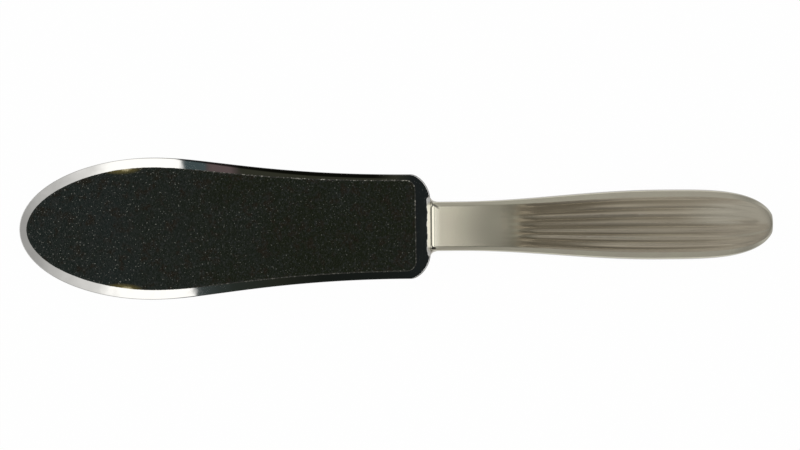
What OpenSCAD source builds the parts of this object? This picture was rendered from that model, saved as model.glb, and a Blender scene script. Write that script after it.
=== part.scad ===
// Foot file: a flat steel paddle with an abrasive sheet on each side, on a hollow fluted steel handle.
// Frame: X runs along the tool, from the paddle's tip (-X) to the butt of the handle (+X). Z is normal to the
// paddle, with its mid-plane at zero. The origin is the middle of the tool's bounding box. Lengths are in mm.

/* [Paddle] */
// Length of the paddle, from its tip to its rear edge
blade_l = 136.5; // [110:0.5:160]
// Greatest width of the paddle
blade_w = 47.2; // [42:0.1:56]
// Distance from the tip to the widest place
blade_widest_at = 44.5; // [34:0.1:56]
// Width of the paddle just before its rear corners
blade_rear_w = 35; // [33:0.1:40]
// Thickness of the paddle
plate_t = 2.5; // [2:0.1:3.2]
// Radius that the paddle's edge is rounded to
plate_edge_r = 0.6; // [0.3:0.05:0.9]
// Width of the hand-ground bevel along the rear edge
rear_bevel = 1.2; // [0.6:0.05:1.5]
// Length of the rounded rear corners, along the paddle
rear_round_l = 6.6; // [3:0.1:9]
// Width of the rounded rear corners, across the paddle
rear_round_w = 8.6; // [4:0.1:9]

/* [Tang] */
// Length of the tang inside the handle
tang_l = 27; // [16:0.5:40]
// Thickness of the tang, which is ground down to the foot of the rear bevel
tang_t = 1.3; // [0.9:0.05:1.6]
// Size of the cut corners at the tang's end
tang_chamfer = 1.5; // [0.5:0.1:3]
// Room between the tang's side and the inside of the handle
tang_gap = 2.1; // [1:0.05:2.6]
// Running room round the tang in the slot of the handle's mouth
slot_clearance = 0.1; // [0.05:0.01:0.15]

/* [Abrasive sheets] */
// Margin of bare steel in front of the sheet, at the tip
tip_margin = 2.4; // [1:0.1:4]
// Margin of bare steel beside the sheet, at the widest place
side_margin = 3.2; // [1.5:0.1:5]
// Margin of bare steel beside the sheet, near the rear
rear_side_margin = 2.3; // [1.5:0.1:3]
// Margin of bare steel behind the sheet
rear_margin = 4.9; // [3:0.1:8]
// Radius of the sheet's rear corners
sheet_corner_r = 3.3; // [1:0.1:5]
// Angle by which the sheets were stuck on askew, in degrees
sheet_skew = 0.7; // [0:0.1:0.8]
// Thickness of the adhesive film
film_t = 0.1; // [0.05:0.01:0.2]
// How far the film stays inside the edge of the sheet
film_inset = 0.4; // [0.2:0.05:1]
// Thickness of the sheet's backing
backing_t = 0.4; // [0.2:0.05:0.8]
// Thickness of the coarse grit coat on the front
coarse_grit_t = 0.4; // [0.2:0.05:0.7]
// Thickness of the finer grit coat on the back
fine_grit_t = 0.25; // [0.15:0.05:0.5]

/* [Handle] */
// Length of the handle, from its mouth to its butt
handle_l = 113.5; // [95:0.5:130]
// Width of the neck at the mouth
neck_w = 16.4; // [14:0.1:18]
// Thickness of the neck at the mouth
neck_t = 7; // [6.4:0.1:9]
// Thickness of the neck at its waist, a little behind the mouth
waist_t = 6.7; // [6:0.1:8.6]
// Distance from the mouth to the waist
waist_at = 10; // [6:0.5:14]
// Length of the straight neck before the handle starts to widen
neck_l = 8.5; // [4:0.5:14]
// Greatest width of the handle
belly_w = 23.2; // [20:0.1:27]
// Greatest thickness of the handle
belly_t = 13; // [11:0.1:15]
// Distance from the mouth to the widest place of the handle
belly_at = 76; // [66:0.5:84]
// Width of the flat at the butt
butt_w = 5.4; // [4.5:0.1:9]
// Thickness of the flat at the butt
butt_t = 4.4; // [3.6:0.1:6]
// Wall of the pressed half shells
shell_wall = 1.1; // [0.8:0.05:1.3]
// Bevel round the top of the mouth
mouth_bevel = 0.8; // [0.4:0.05:1]
// Length of solid steel at the butt
butt_wall = 3.5; // [2.5:0.1:5]
// Length over which the hollow opens behind the mouth and closes before the butt
hollow_run = 1.2; // [0.6:0.1:2]

/* [Handle faces] */
// Width of the band beside the flat panel, at the mouth
neck_band = 1.5; // [1:0.05:1.8]
// Width of the band beside the flutes, at the widest place
side_band = 2.5; // [2:0.1:3.5]
// Slope of the band, in degrees
band_tilt = 36; // [30:1:42]
// Distance from the mouth at which the band has its full share of the width
band_full_at = 45; // [30:1:60]
// How far the fluted face is crowned at the widest place
crown_h = 1.6; // [0.8:0.1:2.2]

/* [Flutes] */
// Number of flutes on each face
flutes = 7; // [5:1:7]
// Depth of a flute below its crests
flute_depth = 0.45; // [0.2:0.05:0.6]
// Distance from the mouth to the start of the flutes
flute_start = 28; // [24:0.5:34]
// Distance from the mouth to the end of the flutes
flute_end = 108; // [100:0.5:109]
// Length over which a flute reaches its full depth
flute_run_in = 6; // [3:0.5:12]
// Length over which a flute fades out towards the butt
flute_run_out = 24; // [12:1:30]

/* [Welds] */
// Thickness of the weld line between the two half shells
seam_t = 0.3; // [0.2:0.05:0.5]
// Length of the weld fillets in the corners of the neck, along the neck
weld_l = 2.2; // [1:0.1:3]
// Width of the weld fillets, along the paddle's rear edge
weld_w = 1.3; // [0.8:0.1:1.6]
// Share of a weld fillet's size that its hollow face is drawn in by
weld_hollow_share = 0.3; // [0.1:0.05:0.45]

/* [Hidden] */

// Places along X: the paddle's tip, and the plane where the paddle meets the mouth of the handle
tip_x = -(blade_l + handle_l) / 2;
joint_x = tip_x + blade_l;

// Half sizes
plate_h = plate_t / 2;
tang_h = tang_t / 2;
seam_h = seam_t / 2;

// Shape of the paddle's flank: how far its two ends run on straight, as shares of its length
flank_front_share = 0.2;
flank_rear_share = 0.55;
// Fullness of the paddle's tip, of its rear corners and of the handle's nose: 2 is an ellipse
tip_power = 2.03;
corner_power = 1.8;
nose_power = 3.7;
// Place along the paddle about which a sheet is turned askew
sheet_pivot_share = 0.6;
// Share of the band's width that is flat, before the band rounds down to the side, and the most of the side's
// height that its slope may take
band_flat_share = 0.75;
band_drop_share = 0.8;

// Points on each stretch of an outline, and steps in the rounding of an edge
tip_steps = 16;
flank_steps = 14;
corner_steps = 6;
edge_steps = 3;
// Columns across one flute and across one rounded side of a half shell, and stations along the handle
flute_cols = 5;
side_cols = 6;
field_cols = flutes * flute_cols;
belly_stations = 22;
nose_stations = 10;
weld_steps = 5;

// Value between a and b at the share t
function mix(a, b, t) = a + (b - a) * t;
// The share t held between 0 and 1
function unit(t) = min(1, max(0, t));
// Smooth rise from 0 to 1 while t goes from 0 to 1
function ease(t) = (1 - cos(180 * unit(t))) / 2;
// A sum of the parts a, b, c and d in the shares that a cubic curve gives them at t
function cubic(a, b, c, d, t) =
    pow(1 - t, 3) * a + 3 * t * pow(1 - t, 2) * b + 3 * t * t * (1 - t) * c + pow(t, 3) * d;

// Outlines of the paddle and of what is stuck on it

// Upper half of a paddle-shaped outline, from its tip at x0 to the end of its rear corner at x0 + len: an
// elliptic tip up to the widest place, an S-shaped flank, and a rounded corner of size round_l by round_w
function paddle_half(x0, len, widest, half_w, rear_half_w, round_l, round_w, power) = concat(
    [for (i = [0 : tip_steps]) let (a = 90 * i / tip_steps)
        [x0 + widest * (1 - pow(cos(a), 2 / tip_power)), half_w * pow(sin(a), 2 / tip_power)]],
    [for (i = [1 : flank_steps]) let (t = i / flank_steps, run = len - round_l - widest)
        [x0 + widest + run * cubic(0, flank_front_share, 1 - flank_rear_share, 1, t),
         cubic(half_w, half_w, rear_half_w, rear_half_w, t)]],
    [for (i = [1 : corner_steps]) let (a = 90 * i / corner_steps)
        [x0 + len - round_l * (1 - pow(sin(a), 2 / power)),
         rear_half_w - round_w * (1 - pow(cos(a), 2 / power))]]);

// The whole outline of a half: the half, then its mirror image back to the tip
function whole(half) = concat(half, [for (i = [len(half) - 1 : -1 : 1]) [half[i][0], -half[i][1]]]);

// The upper half of the paddle's outline, drawn in by side_in at its sides and rear_in at its rear edge
function plate_half(side_in, rear_in) =
    paddle_half(tip_x + side_in, blade_l - side_in - rear_in, blade_widest_at - side_in,
        blade_w / 2 - side_in, blade_rear_w / 2 - side_in, rear_round_l, rear_round_w, corner_power);

// The outline of an abrasive sheet, with round corners, drawn in by inset all round
function sheet_outline(inset) = whole(paddle_half(
    tip_x + tip_margin + inset,
    blade_l - tip_margin - rear_margin - 2 * inset,
    blade_widest_at - tip_margin - inset,
    blade_w / 2 - side_margin - inset,
    blade_rear_w / 2 - rear_side_margin - inset,
    sheet_corner_r, sheet_corner_r, 2));

// The handle, by the distance s from its mouth

// Where the end flat cuts a nose of full size full, as a share of the nose's whole length
function nose_cut(full, flat) = pow(1 - pow(flat / full, 2), 1 / nose_power);
// Half size at s behind the widest place, rounding down from full to flat
function nose(full, flat, s) =
    full / 2 * sqrt(1 - pow(nose_cut(full, flat) * (s - belly_at) / (handle_l - belly_at), nose_power));
// Half width and half thickness
function half_w(s) = s < belly_at
    ? mix(neck_w, belly_w, ease((s - neck_l) / (belly_at - neck_l))) / 2
    : nose(belly_w, butt_w, s);
function half_t(s) = s < waist_at
    ? mix(waist_t, neck_t, pow(1 - s / waist_at, 2)) / 2
    : s < belly_at
    ? mix(waist_t, belly_t, ease((s - waist_at) / (belly_at - waist_at))) / 2
    : nose(belly_t, butt_t, s);
// Share of the width that the flat or fluted face takes, and the height that its crown falls by
function face_share(s) = mix(1 - 2 * neck_band / neck_w, 1 - 2 * side_band / belly_w,
    ease((s - neck_l) / (band_full_at - neck_l)));
function crown(s) = 2 * crown_h / belly_t * half_t(s) * ease(s / belly_at);
// How far the bevel of the mouth draws in the face at s
function bevel(s) = max(0, mouth_bevel - s);

// Depth of the flutes at s, at the share v of the face's width. A flute is the cut of a round cutter that
// sinks in over flute_run_in and lifts out again over flute_run_out, so that its ends are rounded.
function lift(s) = max(pow(1 - unit((s - flute_start) / flute_run_in), 2),
    pow(1 - unit((flute_end - s) / flute_run_out), 2));
function scallop(v) = 1 - pow(2 * (v * flutes - floor(v * flutes)) - 1, 2);
function flute(s, v) = flute_depth * max(0, scallop(v) - lift(s));

// Sizes inside the handle: half width and half thickness of the hollow, and of the tang and its slot
function hollow_half_w(s) = half_w(s) - shell_wall;
function hollow_half_t(s) = half_t(s) - shell_wall - flute_depth * ease((s - flute_start) / flute_run_in);
tang_half_w = neck_w / 2 - shell_wall - tang_gap;
slot_half_w = tang_half_w + slot_clearance;
slot_h = tang_h + slot_clearance;

// Outer profile of the front shell at s, from its rim on the +Y side over the face to its rim on the -Y side
function face_point(s, v) =
    let (half_face = half_w(s) * face_share(s) - bevel(s))
    [half_face * (1 - 2 * v),
     half_t(s) - bevel(s) - crown(s) * pow(1 - 2 * v, 2) - flute(s, v)];
// Point i of the side: 0 is the face's edge, 1 is the end of the band's flat, and the others round down from
// there to the seam
function side_point(s, i) =
    let (edge = face_point(s, 0), band = half_w(s) - edge[0],
        drop = min(tan(band_tilt) * band, band_drop_share * (edge[1] - seam_h)),
        u = (i - 1) / (side_cols - 1), flat = band_flat_share)
    i == 0 ? edge :
    [edge[0] + band * mix(flat, 1, 1 - pow(1 - u, 2)),
     pow(1 - u, 2) * (edge[1] - flat * drop) + 2 * u * (1 - u) * (edge[1] - drop) + u * u * seam_h];
function outer_profile(s) = concat(
    [for (i = [side_cols : -1 : 1]) side_point(s, i)],
    [for (i = [0 : field_cols]) face_point(s, i / field_cols)],
    [for (i = [1 : side_cols]) let (p = side_point(s, i)) [-p[0], p[1]]]);

// Profiles of the inside, all with the same number of points from +Y to -Y: the hollow, the end wall with the
// slot that the tang passes through, and the end wall without one
hollow_cols = 10;
hollow_power = 3;
function hollow_profile(s) = [for (i = [0 : hollow_cols]) let (a = 180 * i / hollow_cols)
    [hollow_half_w(s) * sign(cos(a)) * pow(abs(cos(a)), 2 / hollow_power),
     seam_h + (hollow_half_t(s) - seam_h) * pow(sin(a), 2 / hollow_power)]];
function slot_profile(s) =
    let (w = hollow_half_w(s), side = (w + slot_half_w) / 2)
    [[w, seam_h], [side, seam_h], [slot_half_w, seam_h], [slot_half_w, slot_h], [slot_half_w / 2, slot_h],
     [0, slot_h], [-slot_half_w / 2, slot_h], [-slot_half_w, slot_h], [-slot_half_w, seam_h],
     [-side, seam_h], [-w, seam_h]];
function plain_profile(w) = [for (i = [0 : hollow_cols]) [w * (1 - 2 * i / hollow_cols), seam_h]];

// Stations along the handle. The first three lie in the mouth's wall, and the last two in the butt's.
mouth_stations = [0, mouth_bevel, shell_wall];
hollow_start = shell_wall + hollow_run;
hollow_end = handle_l - butt_wall - hollow_run;
// Share of the butt's length at which its nose has one more station
butt_step_share = 0.6;
butt_stations = [handle_l - butt_wall, handle_l - butt_wall * (1 - butt_step_share), handle_l];
hollow_stations = concat(
    [for (i = [0 : belly_stations - 1]) mix(hollow_start, belly_at, i / belly_stations)],
    [for (i = [0 : nose_stations]) mix(belly_at, hollow_end, sin(90 * i / nose_stations))]);

// Share of the butt's half width at which the inner edge of its seat is drawn
butt_seat_share = 0.7;

// One loop of the shell's section at s: the outer profile, then the inner one back
function section(s, inner) = [for (p = concat(outer_profile(s), reverse(inner))) [joint_x + s, p[0], p[1]]];
function reverse(list) = [for (i = [len(list) - 1 : -1 : 0]) list[i]];

shell_loops = concat(
    [for (s = mouth_stations) section(s, slot_profile(shell_wall))],
    [for (s = hollow_stations) section(s, hollow_profile(s))],
    [for (s = butt_stations) section(s, plain_profile(half_w(s) * butt_seat_share))]);

// Triangles between two loops of count points that start at the points a and b
function band(a, b, count) = [for (i = [0 : count - 1]) let (j = (i + 1) % count)
    each [[a + i, b + j, a + j], [a + i, b + i, b + j]]];

// Triangles that close the section at a shell's end, as [inner, outer, next]: each inner point takes the
// outer points that lie before it
outer_count = field_cols + 2 * side_cols + 1;
function reach(outer, inner) = [for (p = inner) len([for (q = outer) if (q[0] >= p[0]) 1]) - 1];
function end_fans(outer, inner) =
    let (last = outer_count - 1, n = len(inner), from = reach(outer, inner))
    concat(
        [for (i = [0 : n - 1])
            let (first = i == 0 ? 0 : from[i], stop = i == n - 1 ? last : max(from[i], from[i + 1]))
            for (j = [first : 1 : stop - 1]) [inner_at(i, n), j, j + 1]],
        [for (i = [0 : n - 2]) [inner_at(i, n), max(from[i], from[i + 1]), inner_at(i + 1, n)]]);
// Place in a section's loop of the point i of the inner profile, which the loop runs through backwards
function inner_at(i, n) = outer_count + n - 1 - i;

loop_count = outer_count + hollow_cols + 1;
loops = len(shell_loops);
shell_points = [for (loop = shell_loops) each loop];
shell_faces = concat(
    end_fans(outer_profile(0), slot_profile(shell_wall)),
    [for (k = [0 : loops - 2]) each band(k * loop_count, (k + 1) * loop_count, loop_count)],
    [for (f = end_fans(outer_profile(handle_l), plain_profile(half_w(handle_l) * butt_seat_share)))
        [for (i = [2, 1, 0]) (loops - 1) * loop_count + f[i]]]);

// The plate as rings of one outline, drawn in step by step where its edges are rounded
ring_angles = [for (i = [0 : edge_steps]) 90 * i / edge_steps];
function ring(a, side) =
    let (in = 1 - cos(a), z = side * (plate_h - plate_edge_r + plate_edge_r * sin(a)))
    [for (p = whole(plate_half(plate_edge_r * in, rear_bevel * in))) [p[0], p[1], z]];
plate_rings = concat([for (a = reverse(ring_angles)) ring(a, -1)], [for (a = ring_angles) ring(a, 1)]);
half_count = len(plate_half(0, 0));
ring_count = 2 * half_count - 1;
// The flat faces of the plate, as strips between a point i of the upper half and its mirror image
function low(i) = ring_count - i;
plate_strips = concat(
    [[0, 1, low(1)]],
    [for (i = [1 : half_count - 2]) [i, i + 1, low(i + 1), low(i)]]);
top_start = (len(plate_rings) - 1) * ring_count;
plate_points = [for (r = plate_rings) each r];
plate_faces = concat(
    [for (f = plate_strips) reverse(f)],
    [for (k = [0 : len(plate_rings) - 2])
        for (f = band(k * ring_count, (k + 1) * ring_count, ring_count)) reverse(f)],
    [for (f = plate_strips) [for (i = f) top_start + i]]);

// The tang, from inside the paddle to its end in the handle
module tang() {
    root_x = joint_x - rear_round_l;
    end_x = joint_x + tang_l;
    half = [[root_x, tang_half_w], [end_x - tang_chamfer, tang_half_w], [end_x, tang_half_w - tang_chamfer]];
    translate([0, 0, -tang_h])
        linear_extrude(tang_t)
            polygon(concat(half, [for (p = reverse(half)) [p[0], -p[1]]]));
}

module paddle_plate() {
    color("silver")
        union() {
            polyhedron(plate_points, plate_faces, convexity = 4);
            tang();
        }
}

// One layer of an abrasive sheet, from the height z up, on the front of the paddle
module sheet_layer(z, thick, inset) {
    pivot_x = tip_x + sheet_pivot_share * blade_l;
    translate([pivot_x, 0, z])
        rotate(sheet_skew)
            translate([-pivot_x, 0, 0])
                linear_extrude(thick) polygon(sheet_outline(inset));
}

module adhesive_film() {
    color("khaki") sheet_layer(plate_h, film_t, film_inset);
}

module sheet_backing() {
    color("dimgray") sheet_layer(plate_h + film_t, backing_t, 0);
}

module grit_coat(grit_t) {
    color("black") sheet_layer(plate_h + film_t + backing_t, grit_t, 0);
}

module handle_shell() {
    color("darkgray")
        polyhedron(shell_points, shell_faces, convexity = 8);
}

// The weld line follows the seats of both half shells, and leaves the slot for the tang open
module seam_weld() {
    rim = concat([for (s = concat(mouth_stations, hollow_stations, butt_stations)) [joint_x + s, half_w(s)]]);
    hollow = concat(
        [[joint_x, slot_half_w], [joint_x + shell_wall, slot_half_w],
         [joint_x + shell_wall, hollow_half_w(shell_wall)]],
        [for (s = hollow_stations) [joint_x + s, hollow_half_w(s)]]);
    half = concat(reverse(hollow), rim);
    color("gainsboro")
        translate([0, 0, -seam_h])
            linear_extrude(seam_t)
                polygon(concat(half, [for (p = reverse(half)) [p[0], -p[1]]]));
}

// A hollow-faced fillet in each corner between the paddle's rear edge and the side of the neck
module neck_weld() {
    weld_h = plate_h - plate_edge_r;
    face = [for (i = [0 : weld_steps]) let (t = i / weld_steps, out = 1 - 4 * weld_hollow_share * t * (1 - t))
        [weld_l * t * out, weld_w * (1 - t) * out]];
    color("gainsboro")
        for (side = [0, 1])
            mirror([0, side, 0])
                translate([joint_x, neck_w / 2, -weld_h])
                    linear_extrude(2 * weld_h) polygon(concat([[0, 0]], reverse(face)));
}

// The same piece on the other side of the paddle: half a turn about the tool's long axis
module on_back() {
    rotate([180, 0, 0]) children();
}

paddle_plate();
adhesive_film();  // front_adhesive_film
sheet_backing();  // front_sheet_backing
grit_coat(coarse_grit_t);  // front_grit_coat
on_back() adhesive_film();  // back_adhesive_film
on_back() sheet_backing();  // back_sheet_backing
on_back() grit_coat(fine_grit_t);  // back_grit_coat
handle_shell();  // front_handle_shell
on_back() handle_shell();  // back_handle_shell
seam_weld();
neck_weld();
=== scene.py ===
# %% [markdown]
# # A foot file in polished and satin steel
# The real tool is a flat steel paddle with a black abrasive sheet stuck on each side, welded to a hollow
# handle that is pressed from two half shells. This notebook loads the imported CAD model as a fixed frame, then
# builds a finer surface over each piece and gives it its finish.

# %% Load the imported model
import math

import bmesh
import bpy
import numpy as np
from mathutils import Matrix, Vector, geometry


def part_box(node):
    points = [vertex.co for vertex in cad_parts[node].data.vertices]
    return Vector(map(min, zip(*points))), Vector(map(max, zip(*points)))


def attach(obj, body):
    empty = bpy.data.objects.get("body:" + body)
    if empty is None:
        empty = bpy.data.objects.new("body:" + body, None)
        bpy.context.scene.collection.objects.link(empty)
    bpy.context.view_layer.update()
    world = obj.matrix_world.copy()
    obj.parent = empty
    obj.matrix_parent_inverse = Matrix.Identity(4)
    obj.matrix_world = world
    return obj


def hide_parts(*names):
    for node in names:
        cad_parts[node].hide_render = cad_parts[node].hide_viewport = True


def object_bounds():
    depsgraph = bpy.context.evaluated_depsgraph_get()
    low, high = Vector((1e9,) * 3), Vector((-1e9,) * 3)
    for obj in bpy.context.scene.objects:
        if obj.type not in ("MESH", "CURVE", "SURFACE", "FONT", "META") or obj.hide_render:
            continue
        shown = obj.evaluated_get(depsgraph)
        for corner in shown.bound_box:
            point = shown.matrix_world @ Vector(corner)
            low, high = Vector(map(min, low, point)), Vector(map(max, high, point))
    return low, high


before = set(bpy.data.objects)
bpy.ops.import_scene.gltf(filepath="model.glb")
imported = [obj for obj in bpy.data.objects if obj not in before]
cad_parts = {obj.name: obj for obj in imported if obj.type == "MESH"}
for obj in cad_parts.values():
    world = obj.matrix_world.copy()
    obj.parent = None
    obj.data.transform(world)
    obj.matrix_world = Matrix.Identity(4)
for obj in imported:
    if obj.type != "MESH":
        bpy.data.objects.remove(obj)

cad_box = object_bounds()
print("CAD box, mm:", [[round(1000 * v, 2) for v in corner] for corner in cad_box])

# %% [markdown]
# ## Sizes
# Everything below is worked out in millimetres, as a maker would say it, and turned into metres when a mesh
# is made. Places come from the frame's own boxes, so each piece lands where the CAD model says.

# %% Sizes read from the frame
MM = 0.001


def box_mm(node):
    """Lowest and highest corner of a CAD node, in millimetres."""
    return [np.array(corner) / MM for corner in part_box(node)]


plate_low, plate_high = box_mm("paddle_plate")
film_low, film_high = box_mm("front_adhesive_film")
backing_low, backing_high = box_mm("front_sheet_backing")
shell_low, shell_high = box_mm("front_handle_shell")
front_grit_z, back_grit_z = box_mm("front_grit_coat")[1][2], box_mm("back_grit_coat")[0][2]
tip_x, joint_x, butt_x = plate_low[0], shell_low[0], shell_high[0]
plate_h, seam_h = plate_high[2], shell_low[2]
blade_l, handle_l = joint_x - tip_x, butt_x - joint_x
print(f"paddle {blade_l:.1f} mm long, handle {handle_l:.1f} mm long, plate {2 * plate_h:.2f} mm thick")

# %% [markdown]
# ## The camera
# The photograph looks straight down on the tool from far off. A long lens keeps the handle, which stands
# higher than the paddle, from looking bigger than it is. The tool lies almost level in the picture, so the
# camera is rolled by under half a degree.

# %% Camera
PHOTO_W, PHOTO_H = 800, 450
tip_px, butt_px = 20.0, 772.0
centre_line_at_middle_px = 226.65
roll_deg = -0.469
lens_mm, sensor_mm = 100.0, 36.0
nearest_seen_m, farthest_seen_m = 0.01, 20.0

mm_per_px = (butt_x - tip_x) / (butt_px - tip_px)
camera_distance = lens_mm / sensor_mm * PHOTO_W * mm_per_px
camera_x = (tip_x + butt_x) / 2 + (PHOTO_W / 2 - (tip_px + butt_px) / 2) * mm_per_px
camera_y = (centre_line_at_middle_px - PHOTO_H / 2) * mm_per_px
camera_data = bpy.data.cameras.new("studio_camera")
camera_data.lens, camera_data.sensor_width = lens_mm, sensor_mm
camera_data.clip_start, camera_data.clip_end = nearest_seen_m, farthest_seen_m
camera = bpy.data.objects.new("studio_camera", camera_data)
camera.location = (camera_x * MM, camera_y * MM, camera_distance * MM)
camera.rotation_euler = (0, 0, math.radians(roll_deg))
bpy.context.scene.collection.objects.link(camera)
bpy.context.scene.camera = camera
bpy.context.scene.view_settings.view_transform = "Standard"
print(f"camera {camera_distance:.0f} mm up, {mm_per_px:.4f} mm a pixel")

# %% [markdown]
# ## Shader maths as plain expressions
# A shader node graph is a formula. The class below wraps one output socket and overloads the arithmetic, so
# that a formula can be written in Python: each operator adds one Math node. Every other node is added by one
# method, which sets the node's own settings first and its sockets after them.


# %% Signals and recipes
class Signal:
    """One output socket. Arithmetic on it adds Math nodes to the same tree."""

    def __init__(self, recipe, socket):
        self.recipe, self.socket = recipe, socket

    def math(self, operation, *values):
        return self.recipe.node("ShaderNodeMath", {"operation": operation}, dict(enumerate(values)))

    def __add__(self, other):
        return self.math("ADD", self, other)

    def __radd__(self, other):
        return self.math("ADD", other, self)

    def __sub__(self, other):
        return self.math("SUBTRACT", self, other)

    def __rsub__(self, other):
        return self.math("SUBTRACT", other, self)

    def __mul__(self, other):
        return self.math("MULTIPLY", self, other)

    def __rmul__(self, other):
        return self.math("MULTIPLY", other, self)

    def squared(self):
        return self * self

    def rise(self, start, end):
        """0 below start, 1 above end, and a smooth rise between them."""
        return self.recipe.node("ShaderNodeMapRange", {"interpolation_type": "SMOOTHSTEP"},
                                {"Value": self, "From Min": start, "From Max": end})

    def inside(self, start, end, soft):
        """1 between start and end, 0 outside, with soft edges."""
        return self.rise(start - soft, start + soft) * (1 - self.rise(end - soft, end + soft))

    def near_zero(self, full, none):
        """1 up to a distance of full from zero, on either side, falling to 0 at a distance of none."""
        return 1 - self.squared().rise(full ** 2, none ** 2)


class Recipe:
    """A material's or the world's node tree, emptied, with one way to add a node."""

    # How far a line of drawn-out noise is shifted along X for each millimetre across, and its scale in Z
    LINE_SHIFT, DEPTH_SCALE = 0.37, 0.5

    def __init__(self, tree):
        self.tree = tree
        tree.nodes.clear()

    def node(self, kind, settings=None, sockets=None, out=0):
        made = self.tree.nodes.new(kind)
        for name, value in (settings or {}).items():
            if name == "stops":
                while len(made.color_ramp.elements) < len(value):
                    made.color_ramp.elements.new(1.0)
                for stop, (place, colour) in zip(made.color_ramp.elements, value):
                    stop.position, stop.color = place, (*colour, 1.0)
            else:
                setattr(made, name, value)
        for name, value in (sockets or {}).items():
            if isinstance(value, Signal):
                self.tree.links.new(value.socket, made.inputs[name])
            else:
                made.inputs[name].default_value = value
        return Signal(self, made.outputs[out]) if made.outputs else None

    def mix(self, factor, first, second):
        """Colour that goes from first to second as the factor goes from 0 to 1."""
        first, second = [(*c, 1.0) if isinstance(c, tuple) and len(c) == 3 else c for c in (first, second)]
        return self.node("ShaderNodeMix", {"data_type": "RGBA"}, {0: factor, 6: first, 7: second}, out=2)

    def place_mm(self):
        """Position on the piece, in millimetres, in the tool's own frame."""
        at = self.node("ShaderNodeTexCoord", out="Object")
        return self.node("ShaderNodeVectorMath", {"operation": "SCALE"}, {0: at, "Scale": 1 / MM})

    def drawn_out(self, place, along, across):
        """Place scaled by along in X and by across in Y, and shifted along X by the place across."""
        x, y, z = self.parts(place)
        return self.node("ShaderNodeCombineXYZ", {}, {0: x * along + y * self.LINE_SHIFT, 1: y * across,
                                                      2: z * self.DEPTH_SCALE})

    def stored(self, name):
        """The number that the mesh keeps at each of its points under this name."""
        return self.node("ShaderNodeAttribute", {"attribute_name": name}, out="Fac")

    def noise(self, place, scale, detail=2.0, roughness=0.5):
        return self.node("ShaderNodeTexNoise", {}, {"Vector": place, "Scale": scale, "Detail": detail,
                                                    "Roughness": roughness})

    def parts(self, vector):
        """The x, y and z of a vector, as three signals."""
        split = self.node("ShaderNodeSeparateXYZ", {}, {0: vector}).socket.node
        return [Signal(self, split.outputs[k]) for k in range(3)]

    def bump(self, height, strength, distance_mm):
        return self.node("ShaderNodeBump", {}, {"Height": height, "Strength": strength,
                                                "Distance": distance_mm * MM})

    def close(self, shader, kind="ShaderNodeOutputMaterial"):
        """Ends the tree: links a shader to its output."""
        self.node(kind, {}, {"Surface": shader})


def finish_named(name, **constants):
    """A new material's recipe, and the function that ends it with a Principled shader. Values that are the
    same all over the surface are given here, and those that vary over it are given to that function."""
    material = bpy.data.materials.new(name)
    material.use_nodes = True
    recipe = Recipe(material.node_tree)

    def close(**varying):
        sockets = {k.replace("_", " "): v for k, v in {**constants, **varying}.items()}
        recipe.close(recipe.node("ShaderNodeBsdfPrincipled", {}, sockets))
        print(f"{name}: {len(material.node_tree.nodes)} nodes")
        return material

    return recipe, close


# %% [markdown]
# ## The studio
# Mirror steel shows the room, so the room is part of the look. From left to right the photograph's rim shows
# a grey wall, a bright window, and the dark gap between the lamps straight above the tool. The world below is
# that room, painted by direction. Its wall is an even grey. One end is a big bright window, which lights the
# bevels. Overhead lie, side by side, a grey wall, a small window, a dark strip and a ceiling lamp. A mirror
# shows each of them sharply. Satin steel blurs them into one slow gradient along the handle.

# %% World: the room's plain light
WALL_SHADE, CEILING_SHADE, HORIZON_SHADE, END_WINDOW_SHADE = 0.47, 0.43, 0.75, 1.25
# The +Y side of the room is lighter than the -Y side by twice these
WALL_SLANT, CEILING_SLANT = 0.04, 0.05
# Parts of a direction over which one thing turns into the next: Z for the heights, X for the window's side
wall_foot, ceiling_edge, end_window_foot = (0.02, 0.15), (0.6, 0.9), (0.1, 0.2)
end_window_side = (0.3, 0.7)

world = bpy.data.worlds.new("studio_room")
bpy.context.scene.world = world
world.use_nodes = True
room = Recipe(world.node_tree)
look = room.node("ShaderNodeTexCoord", out="Generated")
look_x, look_y, look_z = room.parts(look)


def fade(shade, other, mask):
    """The first shade, and the other one where the mask is 1."""
    return shade * (1 - mask) + mask * other


shade = fade(HORIZON_SHADE, WALL_SHADE + look_y * WALL_SLANT, look_z.rise(*wall_foot))
shade = fade(shade, CEILING_SHADE + look_y * CEILING_SLANT, look_z.rise(*ceiling_edge))
end_window = (0 - look_x).rise(*end_window_side) * look_z.rise(*end_window_foot)
shade = fade(shade, END_WINDOW_SHADE, end_window)

# %% World: the far wall, the window and the lamp overhead
FAR_WALL_SHADE, WINDOW_SHADE, LAMP_SHADE = 0.39, 1.3, 1.45
# What hangs over the tool lies a little askew to it, and the window's edges are ragged
HANGING_SKEW, RAGGEDNESS = 0.073, 0.035
# Where each thing begins and ends, as the X part of a direction, and how soft its edges are
far_wall_from, window_from, strip_from, strip_to, lamp_to = -0.32, -0.133, -0.0947, 0.018, 0.13
far_wall_soft, light_soft, strip_soft = 0.02, 0.006, 0.0015
# Half widths, as the Y part: whole up to the first number and gone at the second
window_half_w, lamp_half_w = (0.045, 0.065), (0.07, 0.1)
# The far wall gets lighter towards the window
FAR_WALL_GLOW, glow_run = 0.5, (-0.17, -0.13)
overhead_height, strip_height = (0.92, 0.95), (0.35, 0.6)

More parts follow.
